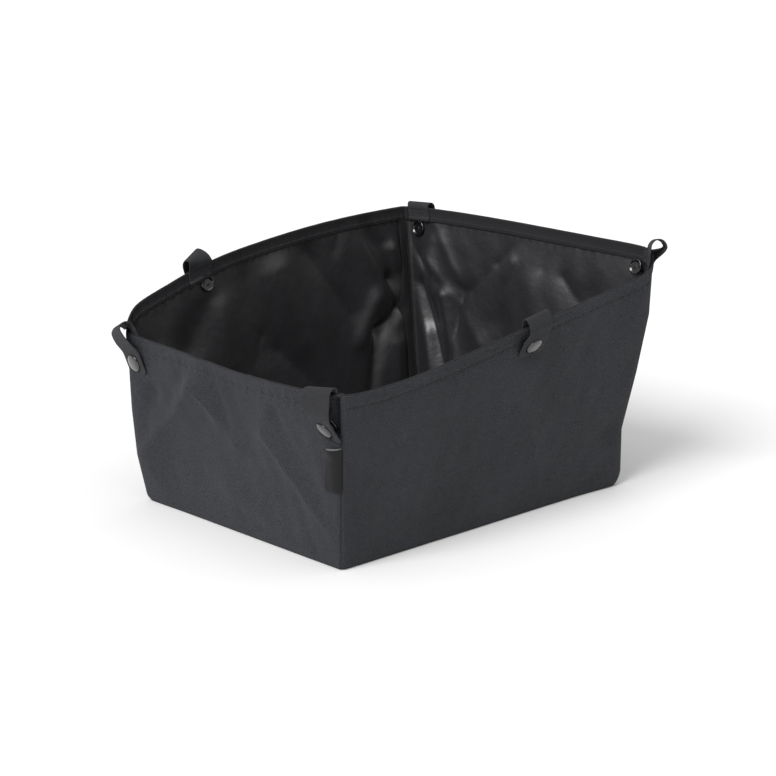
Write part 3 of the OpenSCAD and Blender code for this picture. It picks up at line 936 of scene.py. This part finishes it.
def strap_stitches(key):
    """Two rows of thread across a strap's sewn end."""
    strap, rows = STRAPS[key], []
    wall, sense = strap["wall"], WALLS[strap["wall"]]["sense"]
    y = np.linspace(-STRAP_W / 2 + 1.5, STRAP_W / 2 - 1.5, 40)
    s = strap["place"] * LENGTH[wall] + sense * (strap["shift"] + y)
    for drop in LEG_STITCHES:
        over, under = (sewn_at(wall, s, np.full(y.shape, drop), np.full(y.shape, depth))
                       for depth in THREAD_DEPTHS)
        rows.append((over, over - under))
    return stitches("strap_thread_" + key, rows, THREAD, pitch=2.6)


for key, strap in STRAPS.items():
    sides, run, hang_run, seat, axis = ribbon_of(strap)
    uv = np.stack(np.broadcast_arrays(ACROSS[None, :] * STRAP_W / 2, run[:, None]), -1)
    ribbon = sheet_solid("strap_" + key, *sides, uv, [WEBBING])
    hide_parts("strap_root_" + key, "strap_flap_" + key)
    middle = (sides[0] + sides[1]) / 2
    root_part, flap_part = (middle[rows].reshape(-1, 3) for rows in (run < LEG, run > hang_run))
    bend_start, bend_end = bend_between(root_part, flap_part, *loop_frame(strap)[1:3])
    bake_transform(ribbon)
    cloth.append((ribbon, (STRAP_W, float(run[-1])), None, "folded", ["rim_tape_band"]))
    add_snap(key, seat, axis)
    fixed.append(strap_stitches(key))

# ---------------------------------------------------------------- the folded side label

LABEL_W, LABEL_H, LABEL_TOP = 17.5, 33.0, 99.0


def label_sheet():
    """One strip folded in half and sewn into the corner seam. Its open top edge curls away."""
    half = np.linspace(0, 1, 15)
    turn = np.concatenate([half, 1 + half[1:]])
    up = np.linspace(0, 1, 34)
    lift = ease(up, 0.72, 1.0)[:, None]
    span = np.where(turn <= 1, turn, 2 - turn)[None, :]
    front = turn[None, :] <= 1
    bow = np.sin(np.pi * np.clip(span, 0, 1)) ** 0.7
    stand = np.where(front, 1.3 + 0.9 * bow + 3.4 * lift * bow, 0.75 + 0.2 * lift * bow)
    stand = np.where(np.abs(turn - 1)[None, :] < 0.01, 1.05 + 0.6 * lift, stand)
    s = 0.6 + span * LABEL_W - 1.2 * lift * span
    tilt = 3.0 * (1 - span) * lift
    z = LABEL_TOP - LABEL_H * (1 - up)[:, None] + tilt
    s, z, stand = np.broadcast_arrays(s, z, stand)
    outer = skin("low_end", s / LENGTH["low_end"], z, -stand - 0.14)
    inner = skin("low_end", s / LENGTH["low_end"], z, -stand + 0.14)
    flip = np.broadcast_to(front, s.shape)[..., None]
    uv = np.stack(np.broadcast_arrays(turn[None, :] * LABEL_W, z), -1)
    return sheet_solid("side_label_fold", np.where(flip, outer, inner), np.where(flip, inner, outer), uv,
                       [LABEL_FACE, LABEL_BACK])


label = label_sheet()
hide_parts("side_label")
fixed.append(label)
cloth.append((label, (LABEL_W * 2, LABEL_H), None, "folded", ["wall_low_end"]))

for piece in fixed:
    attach(piece, "shell")
on_piece = {"rim_tape_band": ["tape_thread"], "wall_front": ["hem_thread"],
            "binding_back_high": ["binding_thread"]}
for piece, (width, tall), area, held, rests in cloth:
    with_pieces = on_piece.get(piece.name, [])
    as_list(rests)
    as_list(with_pieces)

# ---------------------------------------------------------------- floor, light and camera

FLOOR_REACH, FLOOR_GAP = 9e3, 0.3
floor_paint = Nodes("floor_paint")
floor_place = floor_paint.add("ShaderNodeTexCoord").outputs["Object"]
floor_paint.link(floor_paint.ramp(floor_paint.noise(floor_place, 1.5), (0.93, 0.93, 0.93), (0.95, 0.95, 0.95)),
                 floor_paint.shader.inputs["Base Color"])
floor_paint.shader.inputs["Roughness"].default_value = 0.9
floor_corners = [(x * FLOOR_REACH, y * FLOOR_REACH, -FLOOR_GAP)
                 for x, y in ((-1, -1), (1, -1), (1, 1), (-1, 1))]
floor = make("floor_sheet", floor_corners, [[0, 1, 2, 3]], [floor_paint.material])

scene = bpy.context.scene
scene.view_settings.view_transform = "Standard"
world = bpy.data.worlds.new("studio")
world.use_nodes = True
world.node_tree.nodes["Background"].inputs["Color"].default_value = (1, 1, 1, 1)
world.node_tree.nodes["Background"].inputs["Strength"].default_value = 0.42
scene.world = world


def soft_light(name, way, power, spread):
    """A wide, distant studio light that shines along way."""
    data = bpy.data.lights.new(name, "SUN")
    data.energy, data.angle = power, math.radians(spread)
    lamp = bpy.data.objects.new(name, data)
    lamp.rotation_euler = Vector(way).to_track_quat("-Z", "Y").to_euler()
    lamp.location = Vector(way) * -3
    scene.collection.objects.link(lamp)


soft_light("left_light", (1.0, 0.12, -0.95), 2.5, 34)
soft_light("top_light", (-0.1, 0.1, -1.0), 0.7, 80)

CAMERA_TURN, CAMERA_RISE, CAMERA_AWAY, CAMERA_LENS = -43.27, 15.46, 1.935, 106.7
target = Vector((0.0038, 0.0, 0.0904))
turn, rise = math.radians(CAMERA_TURN), math.radians(CAMERA_RISE)
back = Vector((math.sin(turn) * math.cos(rise), -math.cos(turn) * math.cos(rise), math.sin(rise)))
camera_data = bpy.data.cameras.new("camera")
camera_data.lens, camera_data.sensor_width = CAMERA_LENS, 36
camera = bpy.data.objects.new("camera", camera_data)
camera.location = target + back * CAMERA_AWAY
camera.rotation_euler = (-back).to_track_quat("-Z", "Y").to_euler()
scene.collection.objects.link(camera)
scene.camera = camera
